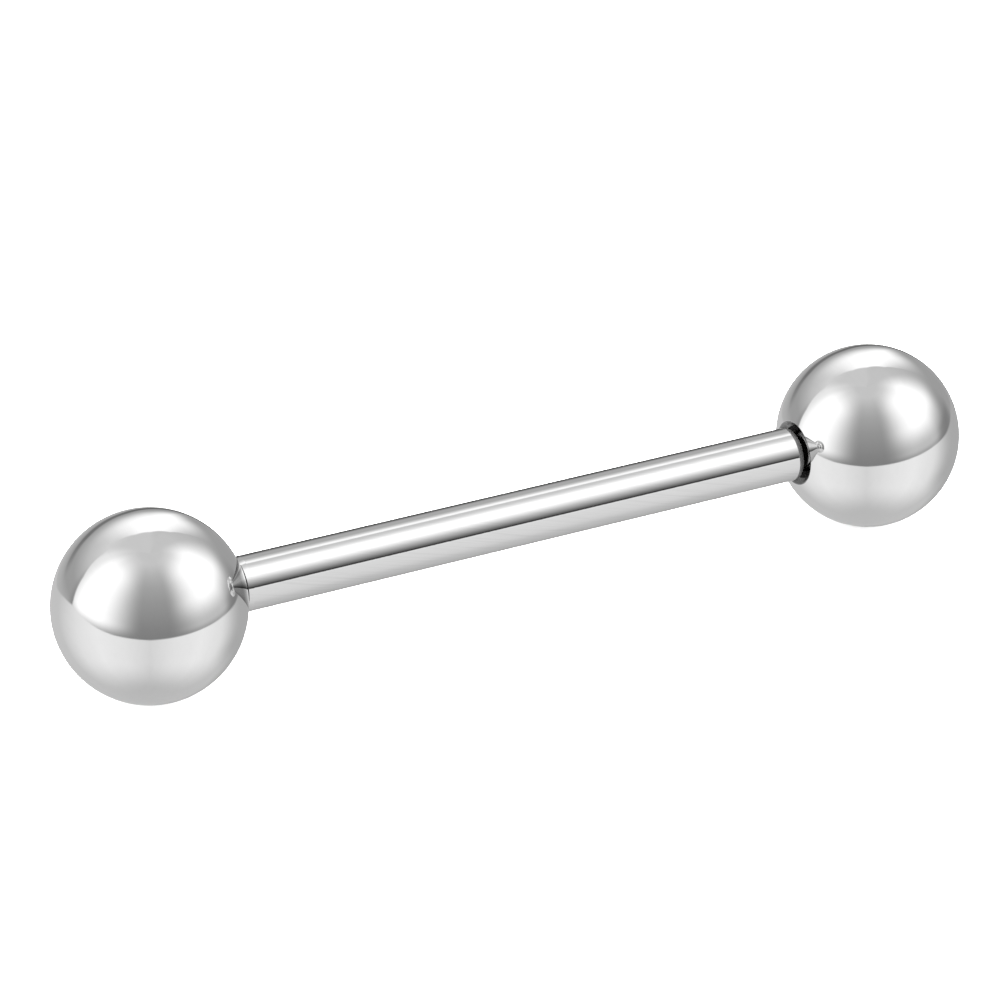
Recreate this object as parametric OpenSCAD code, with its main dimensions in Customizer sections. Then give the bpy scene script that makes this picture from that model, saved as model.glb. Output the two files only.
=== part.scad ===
// Straight tongue barbell: a polished round shank with a threaded tip at
// each end, and a screw-on ball on each tip. It lies on its two balls.
// The shank runs along X, and Z = 0 is the surface that the balls rest on.

/* [Shank] */
// Diameter of the shank, the 14 gauge size
shank_d = 1.6; // [1.4:0.05:1.7]
// Length of the shank between its two shoulders
shank_len = 18; // [12:0.5:24]
// Length of the slight taper at each end of the shank
taper_len = 0.18; // [0.1:0.02:0.3]
// How much each end taper takes off the radius
taper_drop = 0.035; // [0.01:0.005:0.05]
// Broken edge round each shoulder
shoulder_break = 0.03; // [0.01:0.01:0.05]

/* [Threaded tips] */
// Diameter over the crests of the thread
thread_d = 1.2; // [1.1:0.05:1.25]
// Pitch of the thread
thread_pitch = 0.25; // [0.2, 0.25, 0.3]
// Number of thread turns on each tip
thread_turns = 9; // [6:1:9]
// Plain neck between each shoulder and the first turn
neck_len = 0.3; // [0.2:0.05:0.4]
// Chamfer on the end of each tip
tip_chamfer = 0.15; // [0.05:0.05:0.2]

/* [Balls] */
// Diameter of each ball
ball_d = 5.5; // [5:0.25:6.5]
// Diameter of the countersunk mouth of each ball's hole
mouth_d = 1.96; // [1.8:0.02:2.2]
// Full angle of the countersink
countersink_angle = 90; // [80:5:100]
// Broken edge round the mouth
mouth_break = 0.03; // [0.01:0.01:0.05]
// Depth of the hole below its mouth, up to the drill point
hole_depth = 3.4; // [3.2:0.1:3.6]
// Full angle of the drill point at the bottom of the hole
drill_angle = 118; // [110:2:130]
// How far the right ball is screwed round, which doesn't show on a round ball
right_ball_turn = 20; // [0:5:355]

/* [Fit] */
// Gap from each shoulder to the plane of its ball's mouth
shoulder_gap = 0.08; // [0.04:0.02:0.2]
// Radial clearance of the thread crests in the ball's hole
thread_gap = 0.03; // [0.02:0.01:0.05]

/* [Hidden] */
$fn = 96;

SHANK_STEEL = [0.80, 0.80, 0.79];
BALL_STEEL = [0.76, 0.76, 0.76];

shank_r = shank_d / 2;
half_len = shank_len / 2;
shoulder_r = shank_r - taper_drop;

// Proportions of a metric thread of this pitch
thread_depth = 0.6134 * thread_pitch;
crest_flat = thread_pitch / 8;
root_flat = thread_pitch / 4;
crest_r = thread_d / 2;
root_r = crest_r - thread_depth;
thread_end = half_len + neck_len + thread_turns * thread_pitch;
tip_end = thread_end + tip_chamfer;

ball_r = ball_d / 2;
mouth_r = mouth_d / 2;
hole_r = crest_r + thread_gap;
// Height of the mouth's plane above the ball's centre
mouth_h = sqrt(ball_r * ball_r - mouth_r * mouth_r);
ball_x = half_len + shoulder_gap + mouth_h;
axis_z = ball_r;

// The broken edge halves the angle between the ball's surface and the countersink
wall_slope = 90 - countersink_angle / 2;
break_slope = (wall_slope - asin(mouth_r / ball_r)) / 2;
sink_r = mouth_r - mouth_break;
sink_h = mouth_h - mouth_break * tan(break_slope);
cutter_over = 0.5;

// One turn of the thread as a ring with flat crest, as points of radius and height
function thread_ring(low) = [
    [root_r, low + root_flat / 2],
    [crest_r, low + (thread_pitch - crest_flat) / 2],
    [crest_r, low + (thread_pitch + crest_flat) / 2],
    [root_r, low + thread_pitch - root_flat / 2]
];

// Half of the shank's outline, from its middle out to the end of one tip
function half_outline() = concat(
    [
        [shank_r, half_len - taper_len],
        [shoulder_r, half_len - shoulder_break],
        [shoulder_r - shoulder_break, half_len],
        [root_r, half_len]
    ],
    [
        for (turn = [0 : thread_turns - 1])
            for (point = thread_ring(half_len + neck_len + turn * thread_pitch))
                point
    ],
    [
        [root_r, thread_end],
        [root_r - tip_chamfer, tip_end],
        [0, tip_end]
    ]
);

// The same outline on the other side of the middle, in the opposite order
function mirrored(outline) = [for (i = [len(outline) - 1 : -1 : 0]) [outline[i][0], -outline[i][1]]];

// Lays a shape made along Z along X, at the height of the shank's axis: facing is 0
// towards +X and 180 towards -X, and screwed is its turn on the axis
module along_shank(x, facing = 0, screwed = 0) {
    translate([x, 0, axis_z])
        rotate([screwed, 0, 0])
            rotate([0, 90, facing])
                children();
}

// Shank and both threaded tips, turned from one rod
module shank() {
    color(SHANK_STEEL)
        along_shank(0)
            rotate_extrude() polygon(concat(mirrored(half_outline()), half_outline()));
}

// Countersunk blind hole with its mouth towards +Z, measured from the ball's centre
module ball_hole() {
    floor_h = mouth_h - hole_depth;
    rotate_extrude() polygon([
        [0, ball_r + cutter_over],
        [mouth_r + cutter_over, ball_r + cutter_over],
        [mouth_r + cutter_over, mouth_h + cutter_over * tan(break_slope)],
        [sink_r, sink_h],
        [hole_r, sink_h - (sink_r - hole_r) / tan(countersink_angle / 2)],
        [hole_r, floor_h],
        [0, floor_h - hole_r / tan(drill_angle / 2)]
    ]);
}

// Ball with its hole, measured from its centre
module drilled_ball() {
    difference() {
        sphere(r = ball_r);
        ball_hole();
    }
}

module ball_left() {
    color(BALL_STEEL)
        along_shank(-ball_x)
            drilled_ball();
}

module ball_right() {
    color(BALL_STEEL)
        along_shank(ball_x, 180, right_ball_turn)
            drilled_ball();
}

shank();
ball_left();
ball_right();
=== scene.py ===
import logging
import math
from dataclasses import dataclass, field
from enum import Enum
from typing import Callable, Optional, Sequence, Union

import bmesh
import bpy
import numpy as np
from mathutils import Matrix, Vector


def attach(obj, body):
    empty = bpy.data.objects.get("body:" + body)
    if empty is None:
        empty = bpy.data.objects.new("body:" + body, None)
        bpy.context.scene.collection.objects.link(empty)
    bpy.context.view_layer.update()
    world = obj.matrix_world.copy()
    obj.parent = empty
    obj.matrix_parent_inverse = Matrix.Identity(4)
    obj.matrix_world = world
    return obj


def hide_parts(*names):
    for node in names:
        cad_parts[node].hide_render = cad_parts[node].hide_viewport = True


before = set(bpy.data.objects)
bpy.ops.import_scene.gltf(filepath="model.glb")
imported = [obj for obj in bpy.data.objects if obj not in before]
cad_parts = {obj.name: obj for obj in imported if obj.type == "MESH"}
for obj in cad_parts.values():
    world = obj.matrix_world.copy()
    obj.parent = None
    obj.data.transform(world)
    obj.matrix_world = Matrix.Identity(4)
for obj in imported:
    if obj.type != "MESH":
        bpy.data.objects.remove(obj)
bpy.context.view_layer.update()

log = logging.getLogger("tongue_barbell")

MM = 0.001
WELD_DISTANCE = 0.0002 * MM
AXIS_Z = 2.75 * MM
BALL_CENTRE = 11.6495 * MM

# The Mix node's colour sockets share their names with its other sockets, so they go by place.
MIX_FIRST_COLOUR = 6
MIX_SECOND_COLOUR = 7
MIX_COLOUR_RESULT = 2

Point = tuple[float, float]
Space = tuple[float, float, float]
Span = tuple[float, float]
Curve = tuple[Point, ...]
Edges = tuple[Span, ...]
Levels = Union[np.ndarray, float]
Socket = bpy.types.NodeSocket
Operand = Union[Socket, float]

UNIT: Span = (0.0, 1.0)


class Side(Enum):
    """End of the shank that a ball is screwed on."""

    LEFT = -1
    RIGHT = 1


class Cut(Enum):
    """How a stretch of surface was finished, or painted near-black as shade; the value is its material slot.
    """

    POLISHED = 0
    TURNED = 1
    # Near-black paint that stands in for the shade deep in the joints and the tapped holes.
    PAINTED_SHADE = 2
    THREADED = 3


class Marks(Enum):
    """Fine scratches that polishing leaves; the value squeezes their noise along X, Y and Z."""

    ALONG_A_HELIX = (420, 17000, 17000)
    ALL_OVER = (7200, 900, 3600)


class NodeSketch:
    """Short calls that add and link the nodes of one tree."""

    def __init__(self, tree: bpy.types.NodeTree) -> None:
        """Keeps the tree to draw in.

        Args:
            tree: The shader or geometry tree.
        """
        self.tree = tree

    def add(self, kind: str, **inputs: object) -> bpy.types.Node:
        """Adds a node and fills its inputs.

        Args:
            kind: Blender's name of the node type.
            inputs: A value or a socket for each input, with its name's spaces as underscores.

        Returns:
            The new node.
        """
        node = self.tree.nodes.new(kind)
        for name, value in inputs.items():
            self.feed(node.inputs[name.replace("_", " ")], value)
        return node

    def feed(self, socket: Socket, value: object) -> None:
        """Links a socket to an input, or sets the input's own value.

        Args:
            socket: The input.
            value: The socket or the value that it takes.
        """
        if isinstance(value, bpy.types.NodeSocket):
            self.tree.links.new(value, socket)
        elif value is not None:
            socket.default_value = value

    def math(self, operation: str, first: Operand, second: Optional[Operand] = None) -> Socket:
        """Adds a Math node.

        Args:
            operation: Its operation.
            first: The first value or socket.
            second: The second one, if the operation takes two.

        Returns:
            The node's output.
        """
        node = self.tree.nodes.new("ShaderNodeMath")
        node.operation = operation
        self.feed(node.inputs[0], first)
        self.feed(node.inputs[1], second)
        return node.outputs[0]

    def between(self, value: Socket, source: Span, target: Span, smooth: bool = False) -> Socket:
        """Adds a Map Range node, clamped at both ends.

        Args:
            value: The socket to map.
            source: The range that it comes in.
            target: The range that it goes to.
            smooth: Whether it eases in and out.

        Returns:
            The node's output.
        """
        node = self.tree.nodes.new("ShaderNodeMapRange")
        node.interpolation_type = "SMOOTHSTEP" if smooth else "LINEAR"
        self.feed(node.inputs["Value"], value)
        for name, number in zip(("From Min", "From Max", "To Min", "To Max"), (*source, *target)):
            node.inputs[name].default_value = number
        return node.outputs["Result"]

    def grey(self, light: float, dark: float, share: Socket) -> Socket:
        """Adds a Mix node between two greys.

        Args:
            light: The grey at a share of 0.
            dark: The grey at a share of 1.
            share: The share.

        Returns:
            The colour.
        """
        node = self.tree.nodes.new("ShaderNodeMix")
        node.data_type = "RGBA"
        self.feed(node.inputs["Factor"], share)
        node.inputs[MIX_FIRST_COLOUR].default_value = (light, light, light, 1)
        node.inputs[MIX_SECOND_COLOUR].default_value = (dark, dark, dark, 1)
        return node.outputs[MIX_COLOUR_RESULT]


def blank_material(name: str) -> tuple[bpy.types.Material, NodeSketch]:
    """Makes a material without nodes.

    Args:
        name: Its name.

    Returns:
        The material, and the sketch to draw its nodes with.
    """
    made = bpy.data.materials.new(name)
    made.use_nodes = True
    made.node_tree.nodes.clear()
    return made, NodeSketch(made.node_tree)


def steel_surface(sketch: NodeSketch, colour: Socket, roughness: Socket, bump: Socket) -> None:
    """Ends a steel material in a metallic surface.

    Args:
        sketch: The material's nodes.
        colour: Its colour.
        roughness: Its roughness.
        bump: Its normal.
    """
    steel = sketch.add(
        "ShaderNodeBsdfPrincipled", Base_Color=colour, Metallic=1.0, Roughness=roughness, Normal=bump
    )
    sketch.add("ShaderNodeOutputMaterial", Surface=steel.outputs["BSDF"])


@dataclass(frozen=True)
class PolishedSteel:
    """Mirror polish on stainless steel, with the fine scratches and smudges that it keeps.

    The twist of the scratches is in radians for each metre along the shank.
    """

    name: str
    marks: Marks
    roughness: Span
    scratch_height: float
    scratch_tone: float
    colour: float = 0.80
    smudge_tone: float = 0.02
    smudge_scale: float = 330.0
    smudge_onset: Span = (0.3, 0.7)
    scratch_onset: Span = (0.45, 0.75)
    twist: float = 373.0
    slant: Space = (0.4, 0.9, 0.6)

    def material(self) -> bpy.types.Material:
        """Makes the material.

        Returns:
            The material, on Object coordinates.
        """
        made, sketch = blank_material(self.name)
        place = sketch.add("ShaderNodeTexCoord").outputs["Object"]
        noise = sketch.add(
            "ShaderNodeTexNoise", Vector=place, Scale=self.smudge_scale, Detail=4.0, Roughness=0.6
        )
        smudge = sketch.between(noise.outputs["Fac"], self.smudge_onset, UNIT, smooth=True)
        scratch = self.scratches(sketch, place)
        darkened = sketch.math(
            "ADD",
            sketch.math("MULTIPLY", smudge, self.smudge_tone),
            sketch.math("MULTIPLY", scratch, self.scratch_tone),
        )
        bump = sketch.add("ShaderNodeBump", Height=scratch, Strength=1.0, Distance=self.scratch_height)
        steel_surface(
            sketch,
            sketch.grey(self.colour, 0.0, darkened),
            sketch.between(smudge, UNIT, self.roughness),
            bump.outputs["Normal"],
        )
        return made

    def scratches(self, sketch: NodeSketch, place: Socket) -> Socket:
        """Draws the scratches as a noise that is drawn out along them.

        Args:
            sketch: The material's tree.
            place: The Object coordinates.

        Returns:
            A value from 0 to 1.
        """
        squeeze = sketch.add("ShaderNodeMapping", Scale=self.marks.value)
        if self.marks is Marks.ALONG_A_HELIX:
            along = sketch.add("ShaderNodeSeparateXYZ", Vector=place).outputs["X"]
            angle = sketch.math("MULTIPLY", along, -self.twist)
            untwisted = sketch.add("ShaderNodeVectorRotate", Vector=place, Center=(0, 0, AXIS_Z), Angle=angle)
            untwisted.rotation_type = "X_AXIS"
            sketch.feed(squeeze.inputs["Vector"], untwisted.outputs[0])
        else:
            sketch.feed(squeeze.inputs["Vector"], place)
            sketch.feed(squeeze.inputs["Rotation"], self.slant)
        noise = sketch.add("ShaderNodeTexNoise", Vector=squeeze.outputs[0], Scale=1.0, Detail=2.0)
        return sketch.between(noise.outputs["Fac"], self.scratch_onset, UNIT, smooth=True)


@dataclass(frozen=True)
class CutSteel:
    """Steel left as a cutting tool leaves it, with fine turned lines."""

    name: str
    colour: float
    roughness: Span
    line_height: float = 0.0006 * MM
    line_squeeze: Space = (26000, 1800, 1800)
    line_onset: Span = (0.3, 0.7)
    patch_scale: float = 2500.0
    patch_onset: Span = (0.35, 0.65)
    patch_tone: float = 0.8

    def material(self) -> bpy.types.Material:
        """Makes the material.

        Returns:
            The material, on Object coordinates.
        """
        made, sketch = blank_material(self.name)
        place = sketch.add("ShaderNodeTexCoord").outputs["Object"]
        squeeze = sketch.add("ShaderNodeMapping", Vector=place, Scale=self.line_squeeze)
        line_noise = sketch.add("ShaderNodeTexNoise", Vector=squeeze.outputs[0], Scale=1.0, Detail=2.0)
        patch_noise = sketch.add("ShaderNodeTexNoise", Vector=place, Scale=self.patch_scale, Detail=3.0)
        lines = line_noise.outputs["Fac"]
        patch = sketch.between(patch_noise.outputs["Fac"], self.patch_onset, UNIT)
        bump = sketch.add("ShaderNodeBump", Height=lines, Strength=1.0, Distance=self.line_height)
        steel_surface(
            sketch,
            sketch.grey(self.colour, self.patch_tone * self.colour, patch),
            sketch.between(lines, self.line_onset, self.roughness),
            bump.outputs["Normal"],
        )
        return made


def eased_corner(
    before: Point, corner: Point, after: Point, radius: float, steps: int = 4, support: float = 0.35
) -> list[Point]:
    """Rounds one corner of an outline.

    Args:
        before: The outline's point before the corner.
        corner: The corner.
        after: The outline's point after it.
        radius: Radius of the rounding.
        steps: Number of short edges in the arc.
        support: How far past the arc each support point lies, as a share of the radius.

    Returns:
        The arc's points, with a support point on the straight part at each end.
    """
    a, b, c = Vector(before), Vector(corner), Vector(after)
    back, ahead = (a - b).normalized(), (c - b).normalized()
    half = back.angle(ahead) / 2
    reach = radius / math.tan(half)
    middle = b + (back + ahead).normalized() * (radius / math.sin(half))
    start, end = b + back * reach - middle, b + ahead * reach - middle
    turn = start.angle_signed(end)
    arc = []
    for step in range(steps + 1):
        angle = -turn * step / steps
        spun = Vector((
            start.x * math.cos(angle) - start.y * math.sin(angle),
            start.x * math.sin(angle) + start.y * math.cos(angle),
        ))
        arc.append(tuple(middle + spun))
    past = reach + support * radius
    return [tuple(b + back * past), *arc, tuple(b + ahead * past)]


def rounded_outline(points: Sequence[Point], radii: dict[int, float]) -> list[Point]:
    """Rounds the named corners of an outline.

    Args:
        points: The outline's points.
        radii: Radius of the rounding at each corner's place in the list.

    Returns:
        The new outline.
    """
    made: list[Point] = []
    for place, point in enumerate(points):
        if place in radii:
            made += eased_corner(points[place - 1], point, points[place + 1], radii[place])
        else:
            made.append(point)
    return made


@dataclass
class Turning:
    """Surface turned about the shank's axis, as rings of points joined by faces."""

    columns: int
    vertices: list[Space] = field(default_factory=list)
    faces: list[tuple[int, ...]] = field(default_factory=list)
    slots: list[int] = field(default_factory=list)

    def ring(self, x: float, radius: float) -> list[int]:
        """Adds one ring, or one point where the radius is 0.

        Args:
            x: Place along the axis.
            radius: Radius of the ring.

        Returns:
            The places of its points.
        """
        first = len(self.vertices)
        count = self.columns if radius > 0 else 1
        for column in range(count):
            angle = 2 * math.pi * column / self.columns
            self.vertices.append((x, radius * math.sin(angle), AXIS_Z + radius * math.cos(angle)))
        return list(range(first, first + count))

    def surface(self, outline: Sequence[Point], cut_at: Callable[[float, float], Cut]) -> None:
        """Adds the surface that an outline sweeps.

        Args:
            outline: Points of place along the axis and radius.
            cut_at: Gives the finish at a place and radius.
        """
        rings = [self.ring(x, radius) for x, radius in outline]
        for place, (low, high) in enumerate(zip(rings, rings[1:])):
            (x_low, r_low), (x_high, r_high) = outline[place], outline[place + 1]
            slot = cut_at((x_low + x_high) / 2, (r_low + r_high) / 2).value
            for column in range(self.columns):
                after = (column + 1) % self.columns
                if len(low) == 1:
                    self.faces.append((low[0], high[after], high[column]))
                elif len(high) == 1:
                    self.faces.append((low[column], low[after], high[0]))
                else:
                    self.faces.append((low[column], low[after], high[after], high[column]))
                self.slots.append(slot)

    def mesh(self, name: str) -> bpy.types.Mesh:
        """Makes a mesh of the rings so far.

        Args:
            name: The mesh's name.

        Returns:
            The new mesh.
        """
        made = bpy.data.meshes.new(name)
        made.from_pydata(self.vertices, [], self.faces)
        made.polygons.foreach_set("material_index", self.slots)
        return made


@dataclass
class ScrewThread:
    """Geometry Nodes tree that cuts a screw thread as a sleeve about the shank's axis.

    The flank runs between two distances from the crest's middle, in turns. The spare turns keep
    the count of turns above zero where the thread runs to the left.
    """

    flank: Span = (0.40, 0.04)
    spare_turns: float = 64.0
    tree: Optional[bpy.types.NodeTree] = None
    sockets: dict[str, str] = field(default_factory=dict)

    def build_tree(self) -> None:
        """Makes the tree: a grid rolled up, its radius following the thread's profile."""
        self.tree = bpy.data.node_groups.new("screw_thread", "GeometryNodeTree")
        face = self.tree.interface
        face.new_socket("Geometry", in_out="INPUT", socket_type="NodeSocketGeometry")
        face.new_socket("Geometry", in_out="OUTPUT", socket_type="NodeSocketGeometry")
        kinds = {
            "NodeSocketFloat": ("Start", "Length", "Height", "Root radius", "Depth", "Pitch", "Run-out"),
            "NodeSocketInt": ("Rows", "Columns"),
            "NodeSocketMaterial": ("Material",),
        }
        for kind, names in kinds.items():
            for name in names:
                socket = face.new_socket(name, in_out="INPUT", socket_type=kind)
                self.sockets[name] = socket.identifier

        # A flat grid, from 0 to 1 along the thread and once round it.
        sketch = NodeSketch(self.tree)
        given = sketch.add("NodeGroupInput").outputs
        rows = sketch.math("ADD", given["Rows"], 1.0)
        columns = sketch.math("ADD", given["Columns"], 1.0)
        grid = sketch.add("GeometryNodeMeshGrid", Size_X=1.0, Size_Y=1.0, Vertices_X=rows, Vertices_Y=columns)
        place = sketch.add("GeometryNodeInputPosition").outputs[0]
        flat = sketch.add("ShaderNodeSeparateXYZ", Vector=place).outputs
        along = sketch.math("ADD", flat["X"], 0.5)
        round_share = sketch.math("ADD", flat["Y"], 0.5)

        # The profile, from how far each point is off the crest's middle.
        travelled = sketch.math("MULTIPLY", along, given["Length"])
        x = sketch.math("ADD", given["Start"], travelled)
        turns = sketch.math("DIVIDE", travelled, given["Pitch"])
        counted = sketch.math("ADD", turns, self.spare_turns)
        phase = sketch.math("FRACT", sketch.math("SUBTRACT", counted, round_share))
        off_crest = sketch.math("ABSOLUTE", sketch.math("SUBTRACT", phase, 0.5))
        profile = sketch.between(off_crest, self.flank, UNIT, smooth=True)

        # The run-out, where the profile sinks to the root at both ends.
        gone = sketch.math("ABSOLUTE", travelled)
        left = sketch.math("SUBTRACT", sketch.math("ABSOLUTE", given["Length"]), gone)
        nearest = sketch.math("DIVIDE", sketch.math("MINIMUM", gone, left), given["Run-out"])
        fade = sketch.between(nearest, UNIT, UNIT, smooth=True)
        cut = sketch.math("MULTIPLY", sketch.math("MULTIPLY", profile, fade), given["Depth"])
        radius = sketch.math("ADD", given["Root radius"], cut)

        # The grid rolled up about the shank's axis, its seam merged.
        angle = sketch.math("MULTIPLY", round_share, 2 * math.pi)
        y = sketch.math("MULTIPLY", radius, sketch.math("SINE", angle))
        rise = sketch.math("MULTIPLY", radius, sketch.math("COSINE", angle))
        z = sketch.math("ADD", given["Height"], rise)
        rolled = sketch.add("ShaderNodeCombineXYZ", X=x, Y=y, Z=z).outputs[0]
        moved = sketch.add("GeometryNodeSetPosition", Geometry=grid.outputs["Mesh"], Position=rolled)
        seamless = sketch.add("GeometryNodeMergeByDistance", Distance=WELD_DISTANCE)
        sketch.feed(seamless.inputs["Geometry"], moved.outputs[0])
        smooth = sketch.add("GeometryNodeSetShadeSmooth", Geometry=seamless.outputs[0])
        real = sketch.add("GeometryNodeRealizeInstances", Geometry=smooth.outputs[0])
        dressed = sketch.add("GeometryNodeSetMaterial", Geometry=real.outputs[0], Material=given["Material"])
        sketch.add("NodeGroupOutput", Geometry=dressed.outputs[0])

    def sleeve(self, sizes: dict[str, Union[float, int]], finish: bpy.types.Material) -> bpy.types.Mesh:
        """Bakes one thread to a plain mesh.

        Args:
            sizes: The tree's sizes by name, in metres and whole numbers.
            finish: The thread's material.

        Returns:
            The thread as an open tube.
        """
        if self.tree is None:
            self.build_tree()
        carrier = bpy.data.objects.new("thread_carrier", bpy.data.meshes.new("thread_carrier"))
        bpy.context.scene.collection.objects.link(carrier)
        modifier = carrier.modifiers.new("thread", "NODES")
        modifier.node_group = self.tree
        for name, value in {"Height": AXIS_Z, **sizes}.items():
            modifier[self.sockets[name]] = value
        modifier[self.sockets["Material"]] = finish
        graph = bpy.context.evaluated_depsgraph_get()
        baked = bpy.data.meshes.new_from_object(carrier.evaluated_get(graph))
        carrier.modifiers.remove(modifier)
        bpy.data.objects.remove(carrier)
        return baked


def welded_piece(
    name: str,
    turned: bpy.types.Mesh,
    threads: Sequence[bpy.types.Mesh],
    thread_cut: Cut,
    finishes: Sequence[bpy.types.Material],
) -> bpy.types.Object:
    """Joins the turned surface and the threads of one piece into one closed mesh.

    Args:
        name: The piece's name.
        turned: The turned surface.
        threads: Its threads.
        thread_cut: How the threads were finished.
        finishes: The finishes in the order of Cut.

    Returns:
        The new object, with its place in its mesh.
    """
    for mesh in threads:
        mesh.polygons.foreach_set("material_index", [thread_cut.value] * len(mesh.polygons))
    body = bmesh.new()
    for mesh in (turned, *threads):
        body.from_mesh(mesh)
        bpy.data.meshes.remove(mesh)
    bmesh.ops.remove_doubles(body, verts=body.verts, dist=WELD_DISTANCE)
    bmesh.ops.recalc_face_normals(body, faces=body.faces)
    open_edges = sum(1 for edge in body.edges if len(edge.link_faces) != 2)
    if body.calc_volume(signed=True) < 0:
        bmesh.ops.reverse_faces(body, faces=body.faces)
    whole = bpy.data.meshes.new(name)
    body.to_mesh(whole)
    body.free()
    whole.polygons.foreach_set("use_smooth", [True] * len(whole.polygons))
    for finish in finishes:
        whole.materials.append(finish)
    piece = bpy.data.objects.new(name, whole)
    bpy.context.scene.collection.objects.link(piece)
    if open_edges:
        log.warning("%s has %d open edges", name, open_edges)
    return piece


@dataclass
class Shank:
    """Polished round shank with its two tapered shoulders and threaded tips.

    The taper's lead is how many times its length the outline of an end starts before the shoulder.
    """

    radius: float = 0.8 * MM
    half_length: float = 9.0 * MM
    taper_length: float = 0.18 * MM
    taper_drop: float = 0.035 * MM
    shoulder_break: float = 0.03 * MM
    neck_length: float = 0.3 * MM
    thread_end: float = 11.55 * MM
    tip_end: float = 11.70 * MM
    crest_radius: float = 0.6 * MM
    root_radius: float = 0.44665 * MM
    tip_chamfer: float = 0.15 * MM
    taper_round: float = 0.03 * MM
    shoulder_round: float = 0.008 * MM
    neck_round: float = 0.03 * MM
    tip_round: float = 0.02 * MM
    pitch: float = 0.25 * MM
    run_out_turns: float = 0.8
    taper_lead: float = 3.0
    columns: int = 128
    body_rings: int = 40
    rows_per_turn: int = 20

    def end_outline(self) -> list[Point]:
        """Draws the outline from the start of the taper to the thread, at the right end.

        Returns:
            Points of place along the axis and radius.
        """
        shoulder = self.radius - self.taper_drop
        points = [
            (self.half_length - self.taper_lead * self.taper_length, self.radius),
            (self.half_length - self.taper_length, self.radius),
            (self.half_length - self.shoulder_break, shoulder),
            (self.half_length, shoulder - self.shoulder_break),
            (self.half_length, self.root_radius),
            (self.half_length + self.neck_length, self.root_radius),
        ]
        radii = {1: self.taper_round, 2: self.shoulder_round, 3: self.shoulder_round, 4: self.neck_round}
        return rounded_outline(points, radii)

    def tip_outline(self) -> list[Point]:
        """Draws the outline from the end of the thread to the middle of the tip's flat end.

        Returns:
            Points of place along the axis and radius.
        """
        flat = self.root_radius - self.tip_chamfer
        points = [
            (self.thread_end, self.root_radius),
            (self.tip_end, flat),
            (self.tip_end, 0.5 * flat),
            (self.tip_end, 0.0),
        ]
        return rounded_outline(points, {1: self.tip_round})

    def cut_at(self, x: float, radius: float) -> Cut:
        """Tells the finish: polished up to the right taper and over the left one, painted near-black as shade
        on the shoulders' end faces and the necks.

        Args:
            x: Place along the axis.
            radius: Distance from the axis.

        Returns:
            The finish there.
        """
        across = abs(x)
        taper = self.taper_length if x > 0 else self.shoulder_break
        if across < self.half_length - taper:
            return Cut.POLISHED
        if radius > self.radius - self.taper_drop - self.shoulder_break or across > self.thread_end:
            return Cut.TURNED
        # Painted shade: near-black where the joint's gap hides the steel.
        return Cut.PAINTED_SHADE

    def build(self, thread: ScrewThread, finishes: Sequence[bpy.types.Material]) -> bpy.types.Object:
        """Makes the piece.

        Args:
            thread: The tree that cuts the tips' threads.
            finishes: The finishes in the order of Cut.

        Returns:
            The shank, riding on its body.
        """
        turned = Turning(self.columns)
        right, tip = self.end_outline(), self.tip_outline()
        left = [(-x, r) for x, r in reversed(right)]
        first = right[0][0]
        middle = [
            (first * (2 * step / self.body_rings - 1), self.radius) for step in range(1, self.body_rings)
        ]
        for outline in ([*left, *middle, *right], tip, [(-x, r) for x, r in reversed(tip)]):
            turned.surface(outline, self.cut_at)
        start = self.half_length + self.neck_length
        length = self.thread_end - start
        sleeves = []
        for side in Side:
            sizes = {
                "Start": side.value * start,
                "Length": side.value * length,
                "Root radius": self.root_radius,
                "Depth": self.crest_radius - self.root_radius,
                "Pitch": self.pitch,
                "Run-out": self.run_out_turns * self.pitch,
                "Rows": round(length / self.pitch * self.rows_per_turn),
                "Columns": self.columns,
            }
            sleeves.append(thread.sleeve(sizes, finishes[Cut.THREADED.value]))
        piece = welded_piece("shank_steel", turned.mesh("shank_turned"), sleeves, Cut.THREADED, finishes)
        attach(piece, "shank_body")
        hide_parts("shank")
        return piece


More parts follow.
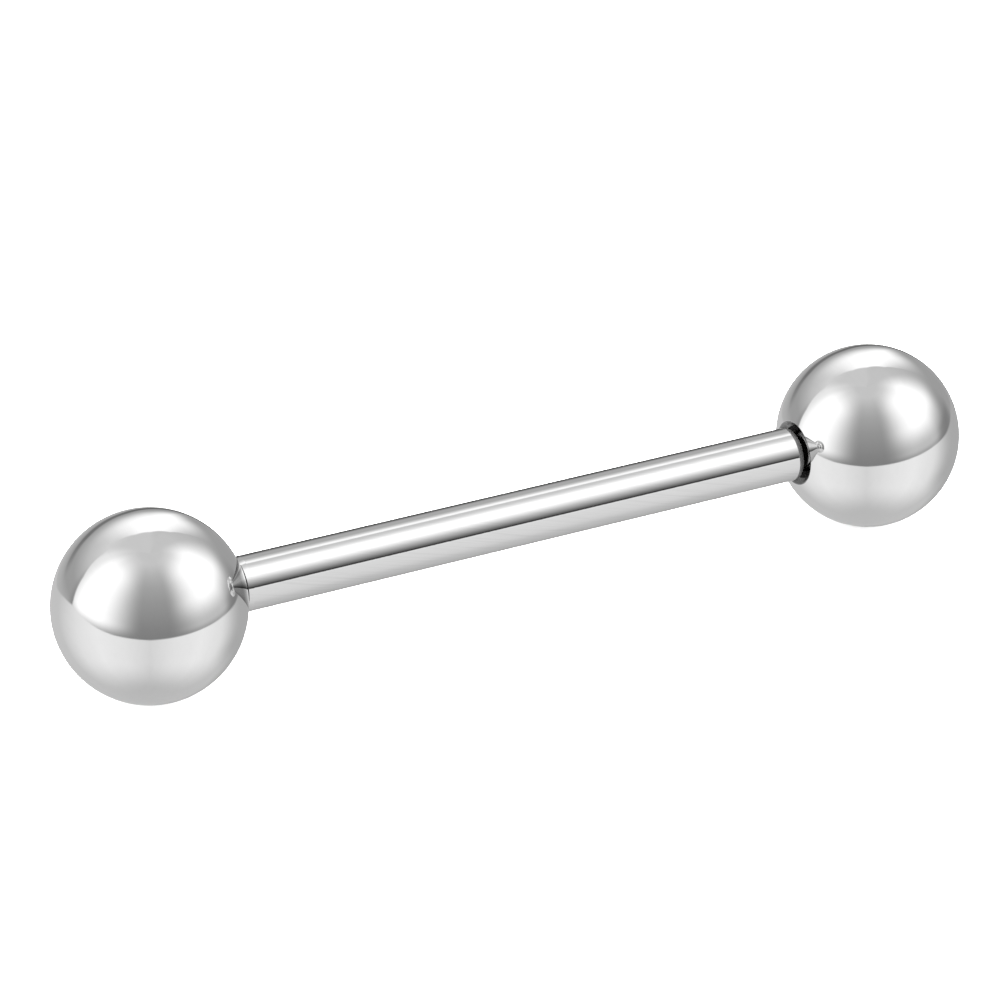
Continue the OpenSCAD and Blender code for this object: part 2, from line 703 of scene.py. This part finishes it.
@dataclass
class ScrewBall:
    """Polished ball with a countersunk, tapped blind hole towards the shank.

    The sink angle is the one between the countersink and the axis, in degrees, and the drill angle
    is the whole angle of the drill's point.
    """

    side: Side
    radius: float = 2.75 * MM
    mouth_radius: float = 0.98 * MM
    mouth_break: float = 0.03 * MM
    mouth_round: float = 0.012 * MM
    polish_reach: float = 0.004 * MM
    sink_angle: float = 45.0
    # Radius inside which the countersink and the hole are painted near-black as shade.
    painted_shade_radius: float = 0.80 * MM
    hole_radius: float = 0.63 * MM
    hole_round: float = 0.02 * MM
    hole_land: float = 0.06 * MM
    hole_depth: float = 3.4 * MM
    drill_angle: float = 118.0
    pitch: float = 0.25 * MM
    thread_depth: float = 0.075 * MM
    run_out_turns: float = 0.6
    columns: int = 160
    sphere_rings: int = 112
    rows_per_turn: int = 14

    def ball_outline(self) -> tuple[list[Point], list[Point]]:
        """Draws the outlines, of height above the centre, towards the mouth, and radius.

        Returns:
            The one from the far pole over the rim to the thread, and the one of the drill point.
        """
        mouth_angle = math.asin(self.mouth_radius / self.radius)
        sweep = math.pi - mouth_angle
        sphere = [
            (-self.radius * math.cos(sweep * step / self.sphere_rings),
             self.radius * math.sin(sweep * step / self.sphere_rings) if step else 0.0)
            for step in range(self.sphere_rings + 1)
        ]
        mouth = self.radius * math.cos(mouth_angle)
        sink_radius = self.mouth_radius - self.mouth_break
        slope = (math.radians(self.sink_angle) - mouth_angle) / 2
        sink = mouth - self.mouth_break * math.tan(slope)
        thread_top = sink - (sink_radius - self.hole_radius)
        below = thread_top - self.hole_land
        rim = [
            sphere[-2],
            (mouth, self.mouth_radius),
            (sink, sink_radius),
            (sink - (sink_radius - self.painted_shade_radius), self.painted_shade_radius),
            (thread_top, self.hole_radius),
            (below, self.hole_radius),
        ]
        radii = {1: self.mouth_round, 2: self.mouth_round, 4: self.hole_round}
        floor = mouth - self.hole_depth
        point = floor - self.hole_radius / math.tan(math.radians(self.drill_angle / 2))
        drill = [
            (floor, self.hole_radius),
            (0.5 * (floor + point), 0.5 * self.hole_radius),
            (point, 0.0),
        ]
        return [*sphere[:-2], *rounded_outline(rim, radii)], drill

    def cut_at(self, x: float, radius: float) -> Cut:
        """Tells the finish: polished outside, turned round the mouth, painted near-black further in as shade
        deep in the countersink and the hole.

        Args:
            x: Place along the axis.
            radius: Distance from the axis.

        Returns:
            The finish there.
        """
        height = BALL_CENTRE - abs(x)
        if radius > self.mouth_radius - self.polish_reach or height < -self.radius / 2:
            return Cut.POLISHED
        # Painted shade: near-black deep in the countersink and the hole.
        return Cut.TURNED if radius > self.painted_shade_radius else Cut.PAINTED_SHADE

    def build(self, thread: ScrewThread, finishes: Sequence[bpy.types.Material]) -> bpy.types.Object:
        """Makes the piece.

        Args:
            thread: The tree that cuts the hole's thread.
            finishes: The finishes in the order of Cut.

        Returns:
            The ball, riding on its body.
        """
        way, centre = self.side.value, BALL_CENTRE
        outer, drill = self.ball_outline()
        turned = Turning(self.columns)
        for outline in (outer, drill):
            turned.surface([(way * (centre - height), r) for height, r in outline], self.cut_at)
        top, bottom = outer[-1][0], drill[0][0]
        sizes = {
            "Start": way * (centre - top),
            "Length": way * (top - bottom),
            "Root radius": self.hole_radius,
            "Depth": self.thread_depth,
            "Pitch": self.pitch,
            "Run-out": self.run_out_turns * self.pitch,
            "Rows": round((top - bottom) / self.pitch * self.rows_per_turn),
            "Columns": self.columns,
        }
        # The hole's thread takes the painted shade, here and in the weld below: near-black standing in for
        # the shade deep in the hole.
        sleeve = thread.sleeve(sizes, finishes[Cut.PAINTED_SHADE.value])
        name = self.side.name.lower()
        body = turned.mesh(f"ball_{name}_turned")
        piece = welded_piece(f"ball_{name}_steel", body, [sleeve], Cut.PAINTED_SHADE, finishes)
        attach(piece, f"ball_{name}_body")
        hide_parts(f"ball_{name}")
        return piece


def ease(low: float, high: float, value: np.ndarray) -> np.ndarray:
    """Smooth step from 0 at low to 1 at high, which may be the smaller one.

    Args:
        low: Where it is 0.
        high: Where it is 1.
        value: The values to ease.

    Returns:
        The shares.
    """
    share = np.clip((value - low) / (high - low), 0, 1)
    return share * share * (3 - 2 * share)


def mix(one: Levels, other: Levels, share: np.ndarray) -> np.ndarray:
    """Mixes two levels, from the first at a share of 0 to the second at 1."""
    return one * (1 - share) + other * share


def level(curve: Curve, value: np.ndarray) -> np.ndarray:
    """Reads a curve of places and levels, straight between its points."""
    return np.interp(value, [point[0] for point in curve], [point[1] for point in curve])


def shown(edges: Edges, angle: np.ndarray) -> np.ndarray:
    """Works out how much of a patch shows between its edges.

    Args:
        edges: For each edge, the angle where the patch is gone and the one where it is full.
        angle: The angles to look at.

    Returns:
        The shares.
    """
    share = np.ones_like(angle)
    for gone, full in edges:
        share = share * ease(gone, full, angle)
    return share


@dataclass(frozen=True)
class Patch:
    """Patch of a tent with soft edges: those at its sides, and those below and above it."""

    sides: Edges
    heights: Edges

    def share(self, azimuth: np.ndarray, elevation: np.ndarray) -> np.ndarray:
        """Works out how much of the patch shows.

        Args:
            azimuth: Degrees to the right of the camera, as seen by the object.
            elevation: Degrees over the horizontal.

        Returns:
            The share in each direction.
        """
        return shown(self.sides, azimuth) * shown(self.heights, elevation)


@dataclass(frozen=True)
class BallTent:
    """Brightness of the tent that a ball mirrors, in degrees from the camera and the horizontal.

    Each curve is a row of points, of an angle and the level or the other angle there. Each edge is
    the angle where its patch is gone and the one where it is full. The walls' sides and the back
    count the azimuth from 0 to 360, and the dark line at the back counts it from the back.
    """

    camera_elevation: float = 27.2

    front_wall: Curve = ((-12, 0.255), (0, 0.28), (30, 0.37), (48, 0.45), (60, 0.54), (75, 0.69))
    right_wall: Curve = ((0, 0.40), (12, 0.41), (20, 0.46), (28, 0.52), (40, 0.60), (60, 0.68))
    right_wall_sides: Edges = ((104, 132), (185, 160))
    left_wall: Curve = (
        (-20, 0.58), (-8, 0.50), (0, 0.40), (10, 0.41), (20, 0.53), (28, 0.64), (45, 0.80), (60, 0.72),
    )
    left_wall_sides: Edges = ((160, 185), (264, 250))

    glimmer_glow: float = 0.63
    glimmer: Patch = Patch(sides=((20, 64), (125, 96)), heights=((-14, -3), (80, 62)))
    right_glow: float = 1.40
    right_box: Patch = Patch(sides=((18.5, 78.5), (140, 104)), heights=((-3, 26), (82, 50)))
    right_dimming: float = 0.22
    right_dim_patch: Patch = Patch(sides=((88, 108), (140, 126)), heights=((32, 12),))
    left_glow: float = 1.42
    left_box: Patch = Patch(sides=((-8, -67), (-126, -82)), heights=((-16, 3), (82, 46)))
    left_box_edge: Curve = ((0, -99), (20, -102.5), (33, -109), (44, -115), (52, -131), (58, -155))
    left_box_blur: Span = (1.5, 5.0)
    left_box_blur_rise: Span = (34, 56)

    back_glow: float = 1.32
    back_sides: Edges = ((140, 168), (232, 186))
    back_top: Curve = (
        (142, 22), (144, 32), (148, 41), (157, 51), (180, 58), (203, 58), (224, 52), (242, 44), (250, 33),
    )
    back_top_blur: float = 1.2
    back_foot: Curve = ((150, 8), (165, 2), (172, -6), (180, 4), (190, 10), (205, 14), (225, 16))
    back_rise: float = 26

    floor_level: Curve = ((0, 0.82), (30, 0.96), (60, 1.03), (90, 0.92), (125, 0.66), (180, 0.58))
    floor_under: float = 0.60
    floor_under_edge: Span = (-85, -40)
    floor_dimming: float = 0.26
    floor_dim_patch: Patch = Patch(sides=((85, 120),), heights=((-52, -36),))
    floor_edge: Curve = (
        (-180, -20), (-140, -14), (-115, -7), (-100, -4), (-85, -5), (-60, -9), (-40, -11), (0, -12.5),
        (60, -10), (90, -9.5), (115, -10.5), (140, -10), (180, -20),
    )
    floor_edge_blur: float = 0.7

    line_height: Curve = ((-8, -13), (0, -4), (8, 3), (17, 5), (29, 6), (41, 3), (55, 1))
    line_level: Curve = ((-8, 0.16), (0, 0.13), (8, 0.18), (17, 0.20), (29, 0.20), (41, 0.28), (55, 0.42))
    line_thickness: Span = (7, 1.5)
    line_sides: Edges = ((-14, -6), (62, 40))
    corner_level: float = 0.22
    corner_strength: float = 0.5
    corner_middle: Point = (118, -5)
    corner_reach: Edges = ((24, 8), (9, 1))

    def glow(self, seen: np.ndarray) -> np.ndarray:
        """Works out the whole tent.

        Args:
            seen: Unit vectors from the ball, as parts to the camera's right, up and towards it.

        Returns:
            The brightness in each direction.
        """
        across, lift, towards = seen.T
        rise = math.radians(self.camera_elevation)
        upright = lift * math.cos(rise) + towards * math.sin(rise)
        nearer = towards * math.cos(rise) - lift * math.sin(rise)
        elevation = np.degrees(np.arcsin(np.clip(upright, -1, 1)))
        heading = np.degrees(np.arctan2(across, nearer))
        azimuth = (heading + 180) % 360 - 180
        behind = heading % 360
        wall = self.walls(behind, elevation)
        wall = mix(wall, self.glimmer_glow, self.glimmer.share(azimuth, elevation))
        wall = mix(wall, self.right_glow, self.right_box.share(azimuth, elevation))
        wall = wall * (1 - self.right_dimming * self.right_dim_patch.share(azimuth, elevation))
        wall = self.with_left_box(wall, azimuth, elevation)
        wall = self.with_back(wall, behind, elevation)
        above = self.over(self.floor_edge, azimuth, elevation, self.floor_edge_blur)
        whole = mix(self.floor(azimuth, elevation), wall, above)
        return self.with_shade(whole, azimuth, elevation, above)

    @staticmethod
    def over(edge: Curve, azimuth: np.ndarray, elevation: np.ndarray, blur: float) -> np.ndarray:
        """Works out what lies over a crisp edge, or under it where the blur is negative.

        Args:
            edge: The edge's elevation by azimuth.
            azimuth: Degrees round, as the edge counts them.
            elevation: Degrees over the horizontal.
            blur: Degrees from the edge to where it has faded.

        Returns:
            The share in each direction.
        """
        return ease(-blur, blur, elevation - level(edge, azimuth))

    def walls(self, behind: np.ndarray, elevation: np.ndarray) -> np.ndarray:
        """Works out the bare walls, which are darker in front and towards the floor.

        Args:
            behind: Degrees to the right of the camera, from 0 to 360.
            elevation: Degrees over the horizontal.

        Returns:
            The brightness in each direction.
        """
        wall = level(self.front_wall, elevation)
        wall = mix(wall, level(self.right_wall, elevation), shown(self.right_wall_sides, behind))
        return mix(wall, level(self.left_wall, elevation), shown(self.left_wall_sides, behind))

    def floor(self, azimuth: np.ndarray, elevation: np.ndarray) -> np.ndarray:
        """Works out the floor, which is dimmer under the ball and at the right.

        Args:
            azimuth: Degrees to the right of the camera.
            elevation: Degrees over the horizontal.

        Returns:
            The brightness in each direction.
        """
        bare = level(self.floor_level, np.abs(azimuth))
        bare = mix(self.floor_under, bare, ease(*self.floor_under_edge, elevation))
        return bare * (1 - self.floor_dimming * self.floor_dim_patch.share(azimuth, elevation))

    def with_left_box(self, wall: np.ndarray, azimuth: np.ndarray, elevation: np.ndarray) -> np.ndarray:
        """Adds the left soft box, whose outer edge is a crisp curve.

        Args:
            wall: Brightness of the wall so far.
            azimuth: Degrees to the right of the camera.
            elevation: Degrees over the horizontal.

        Returns:
            The brightness with the box on it.
        """
        blur = mix(*self.left_box_blur, ease(*self.left_box_blur_rise, elevation))
        inside = ease(-1, 1, (azimuth - level(self.left_box_edge, elevation)) / blur) * (azimuth < 0)
        return mix(wall, self.left_glow, self.left_box.share(azimuth, elevation) * inside)

    def with_back(self, wall: np.ndarray, behind: np.ndarray, elevation: np.ndarray) -> np.ndarray:
        """Adds the bright back, whose top is a crisp curve.

        Args:
            wall: Brightness of the wall so far.
            behind: Degrees to the right of the camera, from 0 to 360.
            elevation: Degrees over the horizontal.

        Returns:
            The brightness with the back on it.
        """
        rising = ease(0, self.back_rise, elevation - level(self.back_foot, behind))
        under_top = self.over(self.back_top, behind, elevation, -self.back_top_blur)
        return mix(wall, self.back_glow, shown(self.back_sides, behind) * rising * under_top)

    def with_shade(
        self, glow: np.ndarray, azimuth: np.ndarray, elevation: np.ndarray, above: np.ndarray
    ) -> np.ndarray:
        """Adds the dark line low at the back and the dark corner at the right.

        Args:
            glow: Brightness of the floor and walls.
            azimuth: Degrees to the right of the camera.
            elevation: Degrees over the horizontal.
            above: Share of the wall, which is 0 on the floor.

        Returns:
            The brightness with both on it.
        """
        past = azimuth % 360 - 180
        thick = ease(*self.line_thickness, np.abs(elevation - level(self.line_height, past)))
        glow = mix(glow, level(self.line_level, past), thick * shown(self.line_sides, past))
        (side, height), (across, upright) = self.corner_middle, self.corner_reach
        corner = ease(*across, np.abs(azimuth - side)) * ease(*upright, np.abs(elevation - height))
        return mix(glow, self.corner_level, self.corner_strength * corner * above)


@dataclass(frozen=True)
class ShankTent:
    """Brightness of the tent that the shank mirrors: strips along it, and darker ends.

    Each point of a strip is the turn about the shank, from the front over the top, and the level
    there. The strips follow on each other in the order of the fields.
    """

    floor_in_front: Curve = (
        (-140, 0.36), (-112, 0.49), (-95, 0.56), (-71, 0.65), (-51, 0.78), (-34, 0.835), (-4, 0.87),
    )
    floor_edge: Curve = ((1.5, 0.95), (2.2, 0.95))
    dark_line: Curve = ((4.2, 0.05), (8, 0.05))
    front_wall: Curve = ((10, 0.12), (17, 0.26), (24, 0.43), (33, 0.65), (40, 0.88), (47, 1.12))
    top_box: Curve = ((53, 1.35), (82, 1.35))
    ceiling: Curve = ((91, 1.0), (99, 0.79), (108, 0.69), (111, 0.80))
    back_box: Curve = ((114, 1.25), (120, 1.25))
    back_wall: Curve = ((124, 0.95), (130, 0.72), (138, 0.50), (155, 0.50), (166, 0.30))
    floor_behind: Curve = ((172, 0.12), (200, 0.12), (220, 0.36))
    ends: Curve = ((-0.82, 0.75), (-0.56, 1.0), (0.50, 1.0), (0.82, 0.35))

    def strips(self) -> Curve:
        """All strips as one curve round the shank."""
        front = self.floor_in_front + self.floor_edge + self.dark_line + self.front_wall
        return front + self.top_box + self.ceiling + self.back_box + self.back_wall + self.floor_behind

    def glow(self, direction: np.ndarray) -> np.ndarray:
        """Works out the whole tent.

        Args:
            direction: Unit vectors from the object.

        Returns:
            The brightness in each direction.
        """
        strips = self.strips()
        turn = np.degrees(np.arctan2(direction[:, 2], -direction[:, 1]))
        turn = np.where(turn < strips[0][0], turn + 360, turn)
        return level(strips, turn) * level(self.ends, direction[:, 0])


@dataclass
class Studio:
    """Pale floor, even daylight, and the light tents that the polished steel mirrors."""

    floor_half: float = 3.0
    floor_colour: float = 0.93
    floor_roughness: float = 0.9
    floor_sheen: float = 0.1
    daylight: float = 6.0
    left_tent_radius: float = 0.8
    right_tent_radius: float = 0.9
    shank_tent_radius: float = 1.0

    def floor(self) -> None:
        """Lays the floor, which the steel doesn't mirror."""
        half = self.floor_half
        mesh = bpy.data.meshes.new("studio_floor")
        corners = [(-half, -half, 0), (half, -half, 0), (half, half, 0), (-half, half, 0)]
        mesh.from_pydata(corners, [], [(0, 1, 2, 3)])
        paper = bpy.data.materials.new("studio_paper")
        paper.use_nodes = True
        coat = paper.node_tree.nodes["Principled BSDF"]
        coat.inputs["Base Color"].default_value = (*[self.floor_colour] * 3, 1)
        coat.inputs["Roughness"].default_value = self.floor_roughness
        coat.inputs["Specular IOR Level"].default_value = self.floor_sheen
        mesh.materials.append(paper)
        ground = bpy.data.objects.new("studio_floor", mesh)
        bpy.context.scene.collection.objects.link(ground)
        ground.visible_glossy = False

    def light(self) -> None:
        """Sets an even pale world, which lights the floor."""
        world = bpy.data.worlds.new("studio_daylight")
        world.use_nodes = True
        sky = world.node_tree.nodes["Background"]
        sky.inputs["Color"].default_value = (1, 1, 1, 1)
        sky.inputs["Strength"].default_value = self.daylight
        bpy.context.scene.world = world
        bpy.context.scene.view_settings.view_transform = "Standard"

    def tent(self, name: str, radius: float, glow: np.ndarray, seen_by: bpy.types.Object) -> None:
        """Hangs one tent that only one piece mirrors.

        Args:
            name: The tent's name.
            radius: Its radius.
            glow: Brightness at each of its points, in the order of tent_points.
            seen_by: The piece that mirrors it.
        """
        points, faces = tent_points()
        mesh = bpy.data.meshes.new(name)
        mesh.from_pydata((points * radius + (0, 0, AXIS_Z)).tolist(), [], faces)
        tint = mesh.color_attributes.new("glow", "FLOAT_COLOR", "POINT")
        tint.data.foreach_set("color", np.column_stack([glow, glow, glow, np.ones_like(glow)]).ravel())
        mesh.materials.append(self.cloth(name, radius < self.shank_tent_radius))
        hung = bpy.data.objects.new(name, mesh)
        bpy.context.scene.collection.objects.link(hung)
        hung.visible_camera = False
        hung.visible_diffuse = False
        hung.visible_shadow = False
        hung.visible_transmission = False
        hung.visible_volume_scatter = False
        receivers = bpy.data.collections.new(f"{name}_receivers")
        receivers.objects.link(seen_by)
        hung.light_linking.receiver_collection = receivers

    @staticmethod
    def cloth(name: str, see_through: bool) -> bpy.types.Material:
        """Makes a tent's cloth, which glows as its points say.

        Args:
            name: The material's name.
            see_through: Whether the larger tents behind it show through it.

        Returns:
            The material.
        """
        made, sketch = blank_material(name)
        read = sketch.add("ShaderNodeAttribute")
        read.attribute_name = "glow"
        surface = sketch.add("ShaderNodeEmission", Color=read.outputs["Color"], Strength=1.0)
        if see_through:
            both = sketch.add("ShaderNodeAddShader")
            sketch.feed(both.inputs[0], surface.outputs[0])
            sketch.feed(both.inputs[1], sketch.add("ShaderNodeBsdfTransparent").outputs[0])
            surface = both
        sketch.add("ShaderNodeOutputMaterial", Surface=surface.outputs[0])
        made.cycles.emission_sampling = "NONE"
        return made

    def build(
        self, shank: bpy.types.Object, balls: dict[Side, bpy.types.Object], camera: bpy.types.Object
    ) -> None:
        """Sets up the whole studio.

        Args:
            shank: The shank's piece.
            balls: The balls' pieces.
            camera: The camera, which each ball's tent is turned to.
        """
        self.floor()
        self.light()
        directions = tent_points()[0]
        for side, radius in ((Side.LEFT, self.left_tent_radius), (Side.RIGHT, self.right_tent_radius)):
            towards = (camera.location - Vector((side.value * BALL_CENTRE, 0, AXIS_Z))).normalized()
            up = towards.cross(camera.matrix_world.col[0].xyz).normalized()
            frame_of_view = np.array([up.cross(towards), up, towards])
            glow = BallTent().glow(directions @ frame_of_view.T)
            self.tent(f"tent_of_the_{side.name.lower()}_ball", radius, glow, balls[side])
        self.tent("tent_of_the_shank", self.shank_tent_radius, ShankTent().glow(directions), shank)


def tent_points(steps: int = 360) -> tuple[np.ndarray, list[tuple[int, ...]]]:
    """Unit sphere that the tents are cut from.

    Args:
        steps: Number of points round it; half as many rings from pole to pole.

    Returns:
        The points and the faces.
    """
    half = steps // 2
    up = np.radians(np.linspace(-90, 90, half + 1))
    turn = np.radians(np.arange(steps) * 360 / steps)
    height, heading = np.meshgrid(up, turn, indexing="ij")
    points = np.column_stack([
        (np.cos(height) * np.sin(heading)).ravel(),
        (-np.cos(height) * np.cos(heading)).ravel(),
        np.sin(height).ravel(),
    ])
    faces = [
        (row * steps + column, row * steps + (column + 1) % steps,
         (row + 1) * steps + (column + 1) % steps, (row + 1) * steps + column)
        for row in range(half)
        for column in range(steps)
    ]
    return points, faces


@dataclass(frozen=True)
class ProductCamera:
    """Long lens at the photo's angle, aimed a little off the shank's middle."""

    lens: float = 144.0
    sensor: float = 36.0
    nearest: float = 1.0 * MM
    farthest: float = 20.0
    azimuth: float = -27.251
    elevation: float = 27.178
    distance: float = 115.333 * MM
    aim_right: float = -0.6681 * MM
    aim_up: float = 0.4946 * MM

    def build(self, middle: Vector) -> bpy.types.Object:
        """Makes the camera and sets it as the scene's.

        Args:
            middle: The middle of the shank's axis.

        Returns:
            The camera.
        """
        turn, rise = math.radians(-self.azimuth), math.radians(self.elevation)
        level_part = math.cos(rise)
        forward = Vector((math.sin(turn) * level_part, math.cos(turn) * level_part, -math.sin(rise)))
        right = Vector((math.cos(turn), -math.sin(turn), 0))
        up = right.cross(forward)
        target = middle + right * self.aim_right + up * self.aim_up
        optics = bpy.data.cameras.new("product_camera")
        optics.lens = self.lens
        optics.sensor_width = self.sensor
        optics.clip_start = self.nearest
        optics.clip_end = self.farthest
        camera = bpy.data.objects.new("product_camera", optics)
        bpy.context.scene.collection.objects.link(camera)
        camera.location = target - forward * self.distance
        camera.rotation_euler = forward.to_track_quat("-Z", "Y").to_euler()
        bpy.context.scene.camera = camera
        bpy.context.view_layer.update()
        return camera


def main() -> None:
    """Builds the barbell, the camera and the studio, in that order."""
    logging.basicConfig(level=logging.INFO, format="%(message)s")
    bar_polish = PolishedSteel(
        "bar_polish",
        Marks.ALONG_A_HELIX,
        roughness=(0.035, 0.06),
        scratch_height=0.00008 * MM,
        scratch_tone=0.05,
    ).material()
    ball_polish = PolishedSteel(
        "ball_polish",
        Marks.ALL_OVER,
        roughness=(0.03, 0.05),
        scratch_height=0.00002 * MM,
        scratch_tone=0.01,
    ).material()
    turned_edge = CutSteel("turned_edge", colour=0.48, roughness=(0.40, 0.55)).material()
    turned_mouth = CutSteel("turned_mouth", colour=0.38, roughness=(0.2, 0.3)).material()
    # Near-black paint that stands in for the shade in the joints' gaps: on the necks, the shoulders' end
    # faces, and the balls' countersinks, holes and threads.
    painted_gap_shade = CutSteel("painted_shade_steel", colour=0.03, roughness=(0.4, 0.5)).material()
    cut_thread = CutSteel("cut_thread", colour=0.50, roughness=(0.16, 0.3)).material()
    thread = ScrewThread()
    shank = Shank().build(thread, [bar_polish, turned_edge, painted_gap_shade, cut_thread])
    balls = {side: ScrewBall(side).build(thread, [ball_polish, turned_mouth, painted_gap_shade]) for side in Side}
    for piece in (shank, *balls.values()):
        log.info("built %s with %d faces", piece.name, len(piece.data.polygons))
    camera = ProductCamera().build(Vector((0, 0, AXIS_Z)))
    Studio().build(shank, balls, camera)


if __name__ == "__main__":
    main()
